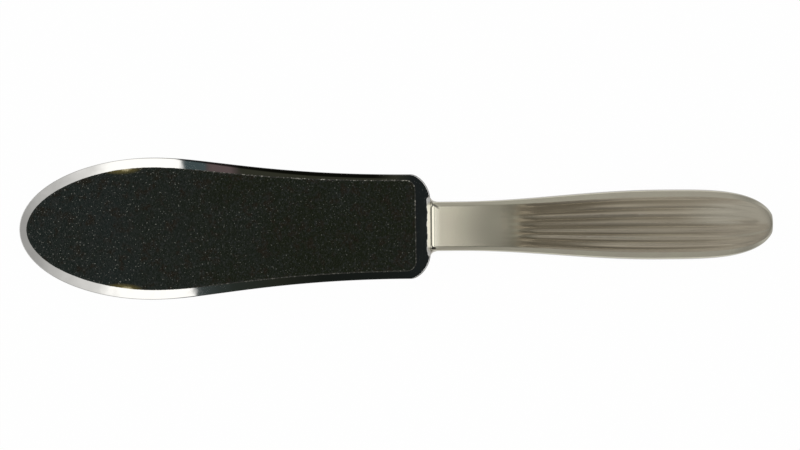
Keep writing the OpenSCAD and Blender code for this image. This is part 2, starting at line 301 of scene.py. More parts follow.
overhead = look_z.rise(*overhead_height)
across = look_x + look_y * HANGING_SKEW
ragged = across + (room.noise(look, 90.0, 8.0, 0.7) - 0.5) * RAGGEDNESS
far_wall = FAR_WALL_SHADE + ragged.rise(*glow_run) * FAR_WALL_GLOW
far_wall_here = across.inside(far_wall_from, window_from + far_wall_soft, far_wall_soft)
shade = fade(shade, far_wall, overhead * far_wall_here)
window_here = look_y.near_zero(*window_half_w) * ragged.inside(window_from, 0, light_soft)
shade = fade(shade, WINDOW_SHADE, window_here)
lamp_here = look_y.near_zero(*lamp_half_w) * across.inside(strip_to, lamp_to, light_soft)
shade = fade(shade, LAMP_SHADE, lamp_here * overhead)

# %% World: the dark strip
# Colours of the strip, by the share of the way from its start to what the paddle's rear end mirrors
STRIP_REACH = 0.114
strip_stops = [
    (0.0, (0.08, 0.095, 0.095)), (0.05, (0.045, 0.056, 0.054)), (0.15, (0.024, 0.03, 0.025)),
    (0.33, (0.02, 0.022, 0.016)), (0.5, (0.010, 0.012, 0.010)), (0.8, (0.011, 0.013, 0.012)),
    (1.0, (0.015, 0.0185, 0.0195))]
# Its +Y side is tinted teal, then olive, with pink between them: where each begins and ends, and how softly
upper_side_from = (0.005, 0.02)
strip_tints = [((0.06, 0.085, 0.09), -0.1, 0.09, 0.02), ((0.034, 0.035, 0.024), 0.2, 0.86, 0.05),
               ((0.12, 0.088, 0.088), 0.09, 0.2, 0.03)]

strip_place = (across - strip_from) * (1 / STRIP_REACH)
strip_colour = room.node("ShaderNodeValToRGB", {"stops": strip_stops}, {0: strip_place})
upper_side = look_y.rise(*upper_side_from)
for tint, start, end, soft in strip_tints:
    strip_colour = room.mix(upper_side * strip_place.inside(start, end, soft), strip_colour, tint)
strip = across.inside(strip_from, strip_to, strip_soft) * look_z.rise(*strip_height)
plain_light = room.node("ShaderNodeBackground", {}, {"Color": (1.0, 0.985, 0.955, 1.0), "Strength": shade})
strip_light = room.node("ShaderNodeBackground", {}, {"Color": strip_colour, "Strength": 1.0})
room.close(room.node("ShaderNodeMixShader", {}, {0: strip, 1: plain_light, 2: strip_light}),
           "ShaderNodeOutputWorld")
print(f"studio room: {len(world.node_tree.nodes)} nodes")

# %% [markdown]
# ## The floor
# The tool lies on its thickest place, so the floor touches the lowest point of the handle. The floor looks
# white to the camera and in reflections, and still takes a soft shadow.

# %% Floor
FLOOR_SIZE_MM = 3000.0
FLOOR_GLOW_SHARE = 0.985
floor_z = cad_box[0].z
half_floor = FLOOR_SIZE_MM * MM / 2
floor_mesh = bpy.data.meshes.new("floor")
floor_mesh.from_pydata([(sx * half_floor, sy * half_floor, floor_z) for sx, sy in
                        ((-1, -1), (1, -1), (1, 1), (-1, 1))], [], [(0, 1, 2, 3)])
floor = bpy.data.objects.new("floor", floor_mesh)
bpy.context.scene.collection.objects.link(floor)

floor_material = bpy.data.materials.new("pale_floor")
floor_material.use_nodes = True
paint = Recipe(floor_material.node_tree)
matt = paint.node("ShaderNodeBsdfDiffuse", {}, {"Color": (0.95, 0.95, 0.95, 1.0)})
glow = paint.node("ShaderNodeEmission", {}, {"Color": (1.0, 1.0, 1.0, 1.0), "Strength": 1.0})
rays = paint.node("ShaderNodeLightPath").socket.node.outputs
seen = Signal(paint, rays["Is Camera Ray"]) + Signal(paint, rays["Is Glossy Ray"])
seen = seen + Signal(paint, rays["Is Transmission Ray"])
paint.close(paint.node("ShaderNodeMixShader", {}, {0: seen * FLOOR_GLOW_SHARE, 1: matt, 2: glow}))
floor_mesh.materials.append(floor_material)
print(f"floor at {floor_z / MM:.2f} mm")


# %% [markdown]
# ## Making meshes
# Each piece is made from numbers: rows of points that form closed loops, joined by strips of quads. Flat ends
# are single polygons. A piece then rides on the CAD body and stands for its CAD node, which is hidden.


# %% Mesh helpers
def make_piece(node, points_mm, faces, material, slot, sharp_deg=40.0, smooth=True):
    """Makes a mesh from points in millimetres and puts it in place of a CAD node."""
    name = f"{node}_surface"
    mesh = bpy.data.meshes.new(name)
    mesh.from_pydata((np.asarray(points_mm, float) * MM).tolist(), [], [list(map(int, f)) for f in faces])
    mesh.validate()
    if smooth:
        mesh.shade_smooth()
        mesh.set_sharp_from_angle(angle=math.radians(sharp_deg))
    else:
        mesh.shade_flat()
    mesh.materials.append(material)
    piece = bpy.data.objects.new(name, mesh)
    bpy.context.scene.collection.objects.link(piece)
    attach(piece, "root")
    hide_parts(node)
    print(f"{name}: {len(mesh.vertices)} points, {len(mesh.polygons)} faces")
    return piece


def store(piece, name, numbers):
    """Keeps one number for each point of the mesh, which a material can read by its name."""
    stored = piece.data.attributes.new(name, "FLOAT", "POINT")
    stored.data.foreach_set("value", np.asarray(numbers, np.float32))


def strips(rows, count, flip=False):
    """Quads between each row of a stack of closed loops and the next one."""
    at = np.arange(rows * count).reshape(rows, count)
    nxt = np.roll(at, -1, axis=1)
    quads = np.stack([at[:-1], nxt[:-1], nxt[1:], at[1:]], axis=-1).reshape(-1, 4)
    return (quads[:, ::-1] if flip else quads).tolist()


def end_faces(total, count, flip=False):
    """The two polygons that close a stack of loops: one at its first loop and one at its last."""
    first, last = list(range(count)), list(range(total - count, total))
    return [first[::-1], last] if flip else [first, last[::-1]]


def slab(line, low_z, high_z):
    """Points and faces of a flat slab, on an outline that runs clockwise as seen from above."""
    points = np.concatenate([np.pad(line, ((0, 0), (0, 1)), constant_values=z) for z in (low_z, high_z)])
    return points, strips(2, len(line), flip=True) + end_faces(len(points), len(line))


def counted_from(first, faces):
    """The same faces, for points that begin at the place first of a longer list."""
    return [[first + i for i in face] for face in faces]


def turned_over(points):
    """The same points after half a turn about the tool's long axis."""
    return np.asarray(points) * np.array([1.0, -1.0, -1.0])


def on_both_sides(part, points, faces, material, slot, **shading):
    """A piece on the front, and its twin on the back, turned over."""
    return [make_piece(f"{side}_{part}", placed, faces, material, slot, **shading)
            for side, placed in (("front", points), ("back", turned_over(points)))]


def ease(t):
    """A smooth rise from 0 to 1 as t goes from 0 to 1, and level beyond."""
    return (1 - np.cos(np.pi * np.clip(t, 0, 1))) / 2


# %% [markdown]
# ## Satin steel for the handle
# The handle was drawn through polishing wheels lengthways, so its grain runs along the tool. Two noises, each
# stretched along X, make the grain: one fine, for the sheen, and one coarse, for the wandering streaks. The
# flutes get painted shade in their colour. A value stored on the mesh says how much each point gets: 0 on the
# neck and the bands, a third to two thirds on a crest, and up to 1 in the bottom of a flute. The sides beside
# the seam get a grey painted shade too, and so do the rounding of the nose and the butt. Near the butt, hands
# have rubbed a patch of the crests bright. The lip of the mouth gets a painted highlight, and the foot of its
# bevel and its two corners get painted shadow. The neck's panel gets darker towards the flutes, in two steps,
# which is painted shade too. That is painted as a colour here, though it may be a reflection on the real
# tool.
#
# A noise that is stretched along X starts all its lines at the same places. So each line of the grain is
# shifted along X by an amount that depends on where it lies across the handle.

# %% Colours and places on the handle
buffed_steel = (0.63, 0.61, 0.495), (0.61, 0.58, 0.48)
crest_steel = (0.64, 0.58, 0.46), (0.54, 0.485, 0.39)
# Painted shade colours: for the neck's panel, for the bottoms of the flutes and for the sides by the seam
neck_shade_steel, flute_shade_steel, side_shade_steel = (0.45, 0.435, 0.34), (0.345, 0.297, 0.212), (0.34, 0.33, 0.285)
# The last colour on this line is painted shade for the nose; the other two are wear
rubbed_steel, smeared_steel, nose_shade_steel = (0.68, 0.64, 0.53), (0.50, 0.47, 0.385), (0.33, 0.315, 0.265)
# A painted highlight for the lip of the mouth, and a painted shadow for its foot and corners
lip_highlight_steel, mouth_shadow_colour = (0.97, 0.95, 0.82), (0.045, 0.043, 0.035)
# Distances behind the mouth over which one look turns into the next
gloss_fades, grain_starts, neck_shade_ends, rubbed_from = (16, 34), (27, 42), (29, 38), (78, 98)
nose_shade_run, butt_shade_run, lip_highlight_fades, foot_ends = (98, 107), (111.6, 113.4), (0.6, 3.8), (0.42, 0.54)
# The two steps of painted shade on the neck's panel: where each begins and ends, and its share
neck_shade_steps = ((3, 12, 0.33), (23, 28, 0.64))
# Half width of the face at the neck, and half height of the part at the foot of the mouth's bevel
# that has no painted shadow
face_half_w, foot_half_h = (6.8, 7.4), (2.5, 2.7)
rubbed_y, mitre_y, mitre_slope, blob_run, blob_y = 3.6, 7.75, 0.62, 0.8, -7.25


# %% Marks of use and of the weld
def rubbed_patches(recipe, colour, place, run, y_mm, flute_shade):
    """The crests near the butt, rubbed bright beside the middle line and smeared elsewhere."""
    broad = recipe.noise(recipe.drawn_out(place, 0.015, 0.3), 1.0, 2.0, 0.5)
    worn = flute_shade.rise(0.1, 0.3) * run.rise(*rubbed_from)
    off_patch = (y_mm - rubbed_y).squared() * 0.05 + (broad - 0.5) * 2.5
    colour = recipe.mix(worn * (1 - off_patch.rise(0.1, 0.9)), colour, rubbed_steel)
    return recipe.mix(worn * broad.rise(0.55, 0.7) * 0.6, colour, smeared_steel)


def nose_painted_shade(recipe, colour, run):
    """Painted shade on the rounding of the nose, more where it turns away from straight up, and on the butt."""
    face_up = recipe.parts(recipe.node("ShaderNodeTexCoord", out="Normal"))[2]
    nose_shade = (1 - face_up.squared()).rise(0.06, 0.4) * run.rise(*nose_shade_run)
    return recipe.mix(nose_shade * 0.75 + run.rise(*butt_shade_run) * 0.35, colour, nose_shade_steel)


def mouth_painted_shadow(recipe, colour, run, y_mm, z_mm, streaks):
    """Painted shadow at the foot of the mouth's bevel, and painted shade in a line down one corner and in a
    blob at the other.
    """
    foot = (1 - run.rise(*foot_ends)) * z_mm.squared().rise(*[h ** 2 for h in foot_half_h])
    mitre = y_mm + run * mitre_slope - mitre_y
    corner_line = (1 - mitre.squared().rise(0.0, 0.3)) * run.inside(0.3, 2.6, 0.6) * 0.75
    off_blob = (run - blob_run).squared() + (y_mm - blob_y).squared() * 4 + (streaks - 0.5) * 2
    return recipe.mix(foot * 0.85 + corner_line + (1 - off_blob.rise(0.4, 1.3)), colour, mouth_shadow_colour)


# %% Satin steel
SATIN_ROUGHNESS, NECK_GLOSS, GRAIN_ROUGHNESS, STREAK_ROUGHNESS = 0.255, 0.055, 0.07, 0.04


def satin_steel():
    recipe, close = finish_named("satin_steel", Metallic=1.0)
    place = recipe.place_mm()
    x_mm, y_mm, z_mm = recipe.parts(place)
    run = x_mm - joint_x
    flute_shade = recipe.stored("dullness")
    fine = recipe.noise(recipe.drawn_out(place, 0.05, 4.0), 1.0, 4.0, 0.6)
    streaks = recipe.noise(recipe.drawn_out(place, 0.03, 0.8), 1.0, 3.0, 0.5)
    clouds = recipe.noise(place, 0.12, 2.0, 0.5)
    on_face = y_mm.near_zero(*face_half_w)

    bright = recipe.mix(clouds.rise(0.35, 0.65), *buffed_steel)
    crest = recipe.mix(streaks.rise(0.35, 0.65), *crest_steel)
    # Painted shade: the crests are darker than the neck
    colour = recipe.mix(flute_shade.rise(0.0, 0.33), bright, crest)
    # Painted shade on the neck's panel, darker towards the flutes
    neck_shade = sum(run.rise(start, end) * share for start, end, share in neck_shade_steps)
    colour = recipe.mix(neck_shade * (1 - run.rise(*neck_shade_ends)) * on_face, colour, neck_shade_steel)
    # Painted shade in the bottoms of the flutes
    colour = recipe.mix(flute_shade.rise(0.34, 0.95) * (0.8 + streaks * 0.3), colour, flute_shade_steel)
    colour = rubbed_patches(recipe, colour, place, run, y_mm, flute_shade)
    # Painted shade on the sides beside the seam, by the value the mesh stores as side
    colour = recipe.mix(recipe.stored("side"), colour, side_shade_steel)
    # Painted shade on the nose and the butt
    colour = nose_painted_shade(recipe, colour, run)
    # Painted highlight along the lip of the mouth
    colour = recipe.mix((1 - run.rise(*lip_highlight_fades)) * on_face * 0.72, colour, lip_highlight_steel)
    # Painted shadow at the mouth's foot, and painted shade in its corners
    colour = mouth_painted_shadow(recipe, colour, run, y_mm, z_mm, streaks)

    smooth_neck, glossy_neck = 1 - run.rise(*grain_starts), 1 - run.rise(*gloss_fades)
    uneven = (fine - 0.5) * GRAIN_ROUGHNESS + (streaks - 0.5) * STREAK_ROUGHNESS
    roughness = SATIN_ROUGHNESS + uneven * (1 - smooth_neck * 0.95) - glossy_neck * NECK_GLOSS
    normal = recipe.bump(fine * 0.5 + streaks, 0.2 - smooth_neck * 0.18, 0.05)
    return close(Base_Color=colour, Roughness=roughness, Normal=normal)


satin = satin_steel()

# %% [markdown]
# ## The handle's form
# A half shell is a stack of sections. Each section has a flat or crowned face with seven flutes, a sloping
# band beside it, and a side that rounds down to the seam. Width and thickness swell along the handle from the
# neck to the belly, and close in a blunt nose. The same rules gave the CAD shells. Here they are sampled far
# more finely, the crests between the flutes are rounded and uneven, as hand polishing leaves them, and the
# mouth's edge is softened.

# %% Handle sizes
neck_w, neck_t, neck_l, waist_t, waist_at = 16.4, 7.0, 8.5, 6.7, 10.0
belly_w, belly_t, belly_at = 23.2, 13.0, 76.0
butt_w, butt_t, butt_wall = 5.4, 4.4, 3.5
shell_wall, hollow_run, hollow_power = 1.1, 1.2, 3.0
neck_band, side_band, band_full_at, crown_h = 1.5, 2.5, 45.0, 1.6
band_tilt_deg, band_flat_share, band_drop_share = 36.0, 0.75, 0.8
flutes, flute_depth, flute_start, flute_end = 7, 0.45, 28.0, 108.0
flute_run_in, flute_run_out = 6.0, 24.0
nose_power = 3.7
tang_half_w, tang_h, tang_l, slot_clearance = 5.0, 0.65, 27.0, 0.1


# %% Width and thickness along the handle
def nose(full, flat, s):
    """Half size behind the widest place, rounding down from full to flat."""
    cut = (1 - (flat / full) ** 2) ** (1 / nose_power)
    share = np.clip(cut * (s - belly_at) / (handle_l - belly_at), 0, 1)
    return full / 2 * np.sqrt(1 - share ** nose_power)


def half_w(s):
    swell = neck_w + (belly_w - neck_w) * ease((s - neck_l) / (belly_at - neck_l))
    return np.where(s < belly_at, swell / 2, nose(belly_w, butt_w, s))


def half_t(s):
    flare = waist_t + (neck_t - waist_t) * (1 - np.clip(s / waist_at, 0, 1)) ** 2
    swell = (belly_t - waist_t) * ease((s - waist_at) / (belly_at - waist_at))
    return np.where(s < belly_at, (flare + swell) / 2, nose(belly_t, butt_t, s))


def face_share(s):
    at_neck, at_belly = 1 - 2 * neck_band / neck_w, 1 - 2 * side_band / belly_w
    return at_neck + (at_belly - at_neck) * ease((s - neck_l) / (band_full_at - neck_l))


def crown(s):
    return 2 * crown_h / belly_t * half_t(s) * ease(s / belly_at)


# %% Flutes with rounded, uneven crests
CREST_ROUNDING = 0.3
# Hand-held polishing leaves no two flutes quite as wide or as deep
crest_shares = np.array([0.0, 0.16, 0.3, 0.463, 0.61, 0.74, 0.873, 1.0])
flute_depth_shares = np.array([1.0, 0.93, 1.05, 0.97, 1.02, 0.94, 1.03])
# How much painted shade the crests and the bottoms get, at some distances from the mouth. Towards the butt,
# where the flutes get shallow, they get less.
shade_at = [14.0, 23.0, 30.0, 38.0, 50.0, 63.0, 76.0, 90.0, 100.0, 108.0]
crest_shade = [0.0, 0.1, 0.72, 0.6, 0.43, 0.31, 0.41, 0.47, 0.38, 0.3]
bottom_shade = [0.0, 0.12, 0.97, 1.0, 0.95, 0.81, 0.75, 0.65, 0.46, 0.33]
# Some crests get more painted shade than these, and some get less
crest_extra = np.array([0.0, 0.16, -0.04, 0.1, -0.04, -0.2, -0.02, 0.0])
# The press first sinks the whole face, and the crests rise out of it further on
SINK_LEAD, SINK_RUN, CREST_RUN_IN = 1.5, 9.5, 9.0
# The crests nearest the bands were worn down close to the neck, over this share of a flute's width each way
worn_crests, WORN_SHARE, WORN_REACH, worn_from, worn_to = (1, 6), 0.6, 0.625, 40.0, 62.0


def flute(s, run):
    """Depth and painted shade of the flutes, at the distance s from the mouth and run flutes across the face.
    """
    part = run - np.floor(run)
    sink = 1 - ease((s - flute_start + SINK_LEAD) / SINK_RUN)
    rise = (1 - np.clip((flute_end - s) / flute_run_out, 0, 1)) ** 2
    soft = np.sqrt((1 - (2 * part - 1) ** 2) ** 2 + CREST_ROUNDING ** 2) - CREST_ROUNDING
    soft = soft / (math.hypot(1, CREST_ROUNDING) - CREST_ROUNDING)
    soft = 1 - (1 - soft) * ease((s - flute_start) / CREST_RUN_IN)
    bottom = np.sin(np.pi * part) ** 2
    for crest in worn_crests:
        worn = WORN_SHARE * (1 - ease((s - worn_from) / (worn_to - worn_from)))
        worn = worn * np.clip(1 - ((run - crest) / WORN_REACH) ** 2, 0, 1) ** 2
        soft, bottom = soft + (1 - soft) * worn, bottom + (1 - bottom) * worn
    uneven = flute_depth_shares[np.clip(run.astype(int), 0, flutes - 1)]
    depth = np.maximum(0, soft - np.maximum(sink, rise)) * uneven
    crest, low = np.interp(s, shade_at, crest_shade), np.interp(s, shade_at, bottom_shade)
    crest = crest + crest_extra[np.rint(run).astype(int)] * ease((s - flute_start) / CREST_RUN_IN)
    return depth, crest + (low - crest) * bottom


# %% Sections of a half shell
COLUMNS_PER_FLUTE, HOLLOW_COLUMNS, SEAT_POINTS = 16, 20, 6
# Columns of the side: narrow ones beside the arris, wide ones on the band's flat, then the round
band_flat = np.array([0.05, 0.15, 0.35, 0.6, 0.85, 0.95, 1.0])
ROUND_COLUMNS = 14
SIDE_COLUMNS = len(band_flat) + ROUND_COLUMNS
run_across = np.linspace(0, flutes, flutes * COLUMNS_PER_FLUTE + 1)[None, :]
v_across = np.interp(run_across, np.arange(flutes + 1), crest_shares)


def outer_profile(s, face_in, all_in):
    """Rows of (y, z) from the +Y rim over the face to the -Y rim, and how much painted shade each point gets.
    The bevel of the mouth draws in the face, and the rounding of the butt draws in the whole section."""
    s, face_in, all_in = s[:, None], face_in[:, None], all_in[:, None]
    wide, high = half_w(s) - all_in, half_t(s) - all_in
    edge_y, edge_z = wide * face_share(s) - face_in, high - face_in - crown(s)
    depth, flute_shade = flute(s, run_across)
    across_share = 1 - 2 * v_across
    face_y = edge_y * across_share
    face_z = high - face_in - crown(s) * across_share ** 2 - flute_depth * depth
    band = wide - edge_y
    drop = np.minimum(math.tan(math.radians(band_tilt_deg)) * band, band_drop_share * (edge_z - seam_h))
    u = np.linspace(0, 1, ROUND_COLUMNS + 1)[None, 1:]
    flat = band_flat_share * band_flat[None, :]
    side_y = np.concatenate([edge_y + band * flat,
                             edge_y + band * (1 - (1 - band_flat_share) * (1 - u) ** 2)], axis=1)
    side_z = np.concatenate([edge_z - drop * flat,
                             (1 - u) ** 2 * (edge_z - band_flat_share * drop)
                             + 2 * u * (1 - u) * (edge_z - drop) + u * u * seam_h], axis=1)
    y = np.concatenate([side_y[:, ::-1], face_y, -side_y], axis=1)
    z = np.concatenate([side_z[:, ::-1], face_z, side_z], axis=1)
    return y, z, np.pad(flute_shade, ((0, 0), (SIDE_COLUMNS, SIDE_COLUMNS)))


def hollow_profile(s):
    """Rows of (y, z) of the hollow, from +Y to -Y."""
    a = np.linspace(0, np.pi, HOLLOW_COLUMNS + 1)[None, :]
    wide = (half_w(s) - shell_wall)[:, None]
    high = (half_t(s) - shell_wall - flute_depth * ease((s - flute_start) / flute_run_in))[:, None]
    y = wide * np.sign(np.cos(a)) * np.abs(np.cos(a)) ** (2 / hollow_power)
    return y, seam_h + (high - seam_h) * np.abs(np.sin(a)) ** (2 / hollow_power)


def slot_profile():
    """The mouth wall's inner line, with the slot that the tang passes through."""
    slot_half_w, slot_h = tang_half_w + slot_clearance, tang_h + slot_clearance
    seat = np.linspace(half_w(np.array(shell_wall)) - shell_wall, slot_half_w, SEAT_POINTS)
    over = np.linspace(slot_half_w, -slot_half_w, HOLLOW_COLUMNS + 1 - 2 * len(seat))
    low = np.full(len(seat), seam_h)
    return np.concatenate([seat, over, -seat[::-1]]), np.concatenate([low, np.full(len(over), slot_h), low])


# %% [markdown]
# A ground bevel is a straight slope. A small rounding joins it to the wall below it, and another one leads up
# to the flat above it, where it may stop short at a crisp arris. Both bevels here, the mouth's and the
# paddle's, come from one function.


# %% Profile of a ground bevel
LAND, STEEPEST_DEG = 0.04, 85


def bevel_profile(height, tilt_deg, low_r, high_r, arris_deg=0, steps=7):
    """Distances along a bevel and heights below its top, from its foot to the flat above it."""
    tilt, arris = math.radians(tilt_deg), math.radians(arris_deg)
    steep = np.linspace(math.radians(STEEPEST_DEG), tilt, steps)
    gentle = np.linspace(tilt, arris, steps)
    foot = [low_r * (math.sin(steep[0]) - np.sin(steep)), low_r * (np.cos(steep) - math.cos(steep[0]))]
    brow = [high_r * (math.sin(tilt) - np.sin(gentle)), high_r * (np.cos(gentle) - math.cos(tilt))]
    # The last point is a hair further on, on the flat, which keeps the flat's normals level
    rise = height - foot[1][-1] - brow[1][-1]
    along = np.concatenate([foot[0], foot[0][-1] + rise / math.tan(tilt) + brow[0]])
    up = np.concatenate([foot[1], foot[1][-1] + rise + brow[1]])
    return np.append(along, along[-1] + LAND), np.append(height - up, 0)


mouth_along, mouth_drop = bevel_profile(0.8, 40, low_r=0.18, high_r=2.2, arris_deg=13, steps=9)
print(f"the mouth's bevel is {mouth_along[-1]:.2f} mm long")

# %% Stations along the handle
BUTT_ROUNDING, ROUNDING_STEPS = 0.3, 7
MOUTH_ROWS, CLOSE_ROWS, SWELL_ROWS, NOSE_ROWS, BUTT_ROWS = 30, 60, 56, 90, 18
hollow_start, hollow_end = shell_wall + hollow_run, handle_l - butt_wall - hollow_run
# The sections lie closest where the flutes begin
close_from, close_to = flute_start - 6, flute_start + flute_run_in + 2
body_rows = np.concatenate([
    np.linspace(hollow_start, close_from, MOUTH_ROWS, endpoint=False),
    np.linspace(close_from, close_to, CLOSE_ROWS, endpoint=False),
    np.linspace(close_to, belly_at, SWELL_ROWS, endpoint=False),
    belly_at + (hollow_end - belly_at) * np.sin(np.linspace(0, np.pi / 2, NOSE_ROWS)),
])
butt_turn = np.linspace(0, np.pi / 2, ROUNDING_STEPS)
butt_rows = np.concatenate([
    np.linspace(hollow_end, handle_l - BUTT_ROUNDING, BUTT_ROWS)[1:-1],
    handle_l - BUTT_ROUNDING * (1 - np.sin(butt_turn)),
])
rows = np.concatenate([mouth_along, body_rows, butt_rows])
face_in = np.pad(mouth_drop, (0, len(rows) - len(mouth_drop)))
all_in = np.pad(BUTT_ROUNDING * (1 - np.cos(butt_turn)), (len(rows) - len(butt_turn), 0))
print(f"{len(rows)} sections along the handle")

# %% Points and faces of a half shell
outer_y, outer_z, outer_shade = outer_profile(rows, face_in, all_in)
inner_y, inner_z = hollow_profile(rows)
first_body, first_butt = len(mouth_along), len(rows) - len(butt_rows)
inner_y[:first_body], inner_z[:first_body] = slot_profile()
butt_seat_share = 0.7
inner_y[first_butt:] = np.linspace(1, -1, HOLLOW_COLUMNS + 1) * butt_seat_share * outer_y[first_butt:, :1]
inner_z[first_butt:] = seam_h

loop_y = np.concatenate([outer_y, inner_y[:, ::-1]], axis=1)
loop_z = np.concatenate([outer_z, inner_z[:, ::-1]], axis=1)
loop_count = loop_y.shape[1]
loop_x = np.repeat((joint_x + rows)[:, None], loop_count, axis=1)
shell_points = np.stack([loop_x, loop_y, loop_z], axis=-1).reshape(-1, 3)
# How much painted shade each outer point gets in the flutes; none on the hollow
shell_flute_shade = np.pad(outer_shade, ((0, 0), (0, HOLLOW_COLUMNS + 1))).ravel()
shell_faces = strips(len(rows), loop_count) + end_faces(len(shell_points), loop_count, flip=True)

# %% The half shells
# The painted shade of the sides begins further in on the nose, and covers the rounding of the butt
SIDE_SHADE_NOSE_FROM, SIDE_SHADE_NOSE_RUN = 92, 12
at_nose = ease((rows - SIDE_SHADE_NOSE_FROM) / SIDE_SHADE_NOSE_RUN)[:, None]
at_butt = ease((rows - handle_l + 2 * BUTT_ROUNDING) / BUTT_ROUNDING)[:, None]
round_share = np.linspace(0, 1, ROUND_COLUMNS + 1)[None, 1:]
side_shade_share = np.concatenate([at_nose * band_flat[None, :] ** 2 * 0.5,
                             np.maximum(ease(round_share * 2), at_nose * (0.5 + round_share / 2))], axis=1)
middle = np.zeros((len(rows), outer_y.shape[1] - 2 * SIDE_COLUMNS))
across_side_shade = np.maximum(np.concatenate([side_shade_share[:, ::-1], middle, side_shade_share], axis=1), at_butt)
shell_side_shade = np.pad(across_side_shade, ((0, 0), (0, HOLLOW_COLUMNS + 1))).ravel()

# Each shell stores the painted shade of its flutes and of its sides, for the material
for piece in on_both_sides("handle_shell", shell_points, shell_faces, satin, "satin_steel", sharp_deg=50.0):
    store(piece, "dullness", shell_flute_shade)
    store(piece, "side", shell_side_shade)

# %% [markdown]
# ## The weld seam
# The half shells meet on a thin weld that was ground almost flush. It is one U-shaped strip: along one side,
# round the butt and back along the other side. Its outer edge bulges a few hundredths of a millimetre, with
# the faint ripple that each puddle of weld leaves.


# %% Weld steel
bare_weld, heat_tint = (0.62, 0.60, 0.55), (0.46, 0.40, 0.31)


def weld_steel():
    recipe, close = finish_named("weld_steel", Metallic=1.0)
    place = recipe.place_mm()
    spots = recipe.noise(place, 1.2, 3.0, 0.6)
    heat = recipe.noise(place, 0.25, 2.0, 0.5).rise(0.45, 0.7)
    colour = recipe.mix(heat * 0.6, bare_weld, heat_tint)
    return close(Base_Color=colour, Roughness=0.3 + spots * 0.2, Normal=recipe.bump(spots, 0.35, 0.06))


weld = weld_steel()

# %% The seam's outer and inner line
BUTT_POINTS, BEAD_POINTS = 13, 7
side_rim = np.stack([rows, outer_y[:, 0]], -1)
side_in_line = np.stack([rows, inner_y[:, 0]], -1)
side_in_line[:first_body, 1] = tang_half_w + slot_clearance
side_in_line[first_butt:] = side_in_line[first_butt - 1]
turn = np.linspace(1, -1, BUTT_POINTS)[1:-1, None]
butt_rim = np.concatenate([np.full_like(turn, rows[-1]), turn * side_rim[-1, 1]], 1)
butt_in_line = np.concatenate([np.full_like(turn, side_in_line[-1, 0]), turn * side_in_line[-1, 1]], 1)
mirror = np.array([1.0, -1.0])
rim = np.concatenate([side_rim, butt_rim, side_rim[::-1] * mirror])
in_line = np.concatenate([side_in_line, butt_in_line, side_in_line[::-1] * mirror])

# %% The seam, with its rippled edge
SEAM_PROUD, RIPPLE, RIPPLE_LENGTH = 0.03, 0.012, 1.1
# The ripples come sooner and later by this much, in radians, as the welder's hand speeds up and slows down
RIPPLE_DRIFT, DRIFT_RATE = 0.8, 0.37
heading = np.gradient(rim, axis=0)
heading /= np.maximum(np.linalg.norm(heading, axis=1, keepdims=True), 1e-9)
outward = np.stack([-heading[:, 1], heading[:, 0]], -1)
outward *= np.sign(np.sum(outward * (rim - in_line), axis=1, keepdims=True))
run = np.concatenate([[0], np.cumsum(np.linalg.norm(np.diff(rim, axis=0), axis=1))])
phase = 2 * np.pi * run / RIPPLE_LENGTH + RIPPLE_DRIFT * np.sin(run * DRIFT_RATE)
proud = SEAM_PROUD + RIPPLE * np.sin(phase)
bead_turn = np.linspace(np.pi / 2, -np.pi / 2, BEAD_POINTS)
seam_rows = [np.concatenate([in_line, np.full((len(rim), 1), seam_h)], 1)]
for a in bead_turn:
    at = rim + outward * (proud * math.cos(a))[:, None]
    seam_rows.append(np.concatenate([at, np.full((len(rim), 1), seam_h * math.sin(a))], 1))
seam_rows.append(np.concatenate([in_line, np.full((len(rim), 1), -seam_h)], 1))
seam_points = np.stack(seam_rows, 1)
seam_points[:, :, 0] += joint_x
seam_count = seam_points.shape[1]
seam_points = seam_points.reshape(-1, 3)
seam_faces = strips(len(rim), seam_count, flip=True) + end_faces(len(seam_points), seam_count)
seam = make_piece("seam_weld", seam_points, seam_faces, weld, "weld_steel")

# %% The seam without its edges of no length
# Many sections of the butt share one inner point, so the edges between them have no length
NO_LENGTH_MM = 0.0001
cleaned = bmesh.new()
cleaned.from_mesh(seam.data)
bmesh.ops.dissolve_degenerate(cleaned, dist=NO_LENGTH_MM * MM, edges=cleaned.edges)
cleaned.to_mesh(seam.data)
cleaned.free()
print(f"seam: {len(seam_points)} points, {len(seam.data.vertices)} of them kept")

# %% [markdown]
# ## Polished steel
# The paddle was buffed to a mirror. What gives it away as metal that hands have used is small: a slow
# waviness of the surface, which bends the edges of what it reflects, a few smudges that raise the roughness,
# and hairline scratches that run mostly along the tool. Its edge was buffed round the front, and only filed
# at the tip's end and along the rear, where it is duller, and darker by painted shade. The bevel at its rear
# was ground, so it is bright but not a mirror, and the crevice at its foot gets a painted shadow.
#
# The photograph also shows a thin dark line beside the +Y edge, which gets wider towards the handle. On the
# real tool it is probably a mirror image in an edge that rolls off. Here it is painted, by a value stored on
# the mesh that says how far each point is from the edge.

# %% Colours and places on the paddle
mirror_steel, smudged_steel, ground_steel = (0.80, 0.80, 0.79), (0.74, 0.735, 0.72), (0.93, 0.93, 0.91)
# The first two colours on this line are painted shade on the filed edge
filed_edge_shade, filed_tip_shade, line_steel = (0.12, 0.12, 0.118), (0.16, 0.16, 0.155), (0.10, 0.10, 0.098)
# Painted shadow for the crevice at the foot of the rear bevel
crevice_shadow_colour = (0.06, 0.055, 0.045)
# Distances from the tip over which one look turns into the next
filed_tip_ends, filed_rear_from = (7, 25), (48, 57)
line_starts, line_widens, line_ends = (51.3, 54.3), (40, 100), (117, 127)
# The dark line's width where it starts, how much it gains, and how soft its inner side is.
# It lies past line_y.
LINE_WIDTH, LINE_GAIN, line_soft, line_y = 0.35, 0.95, (-0.2, 0.25), (8, 12)


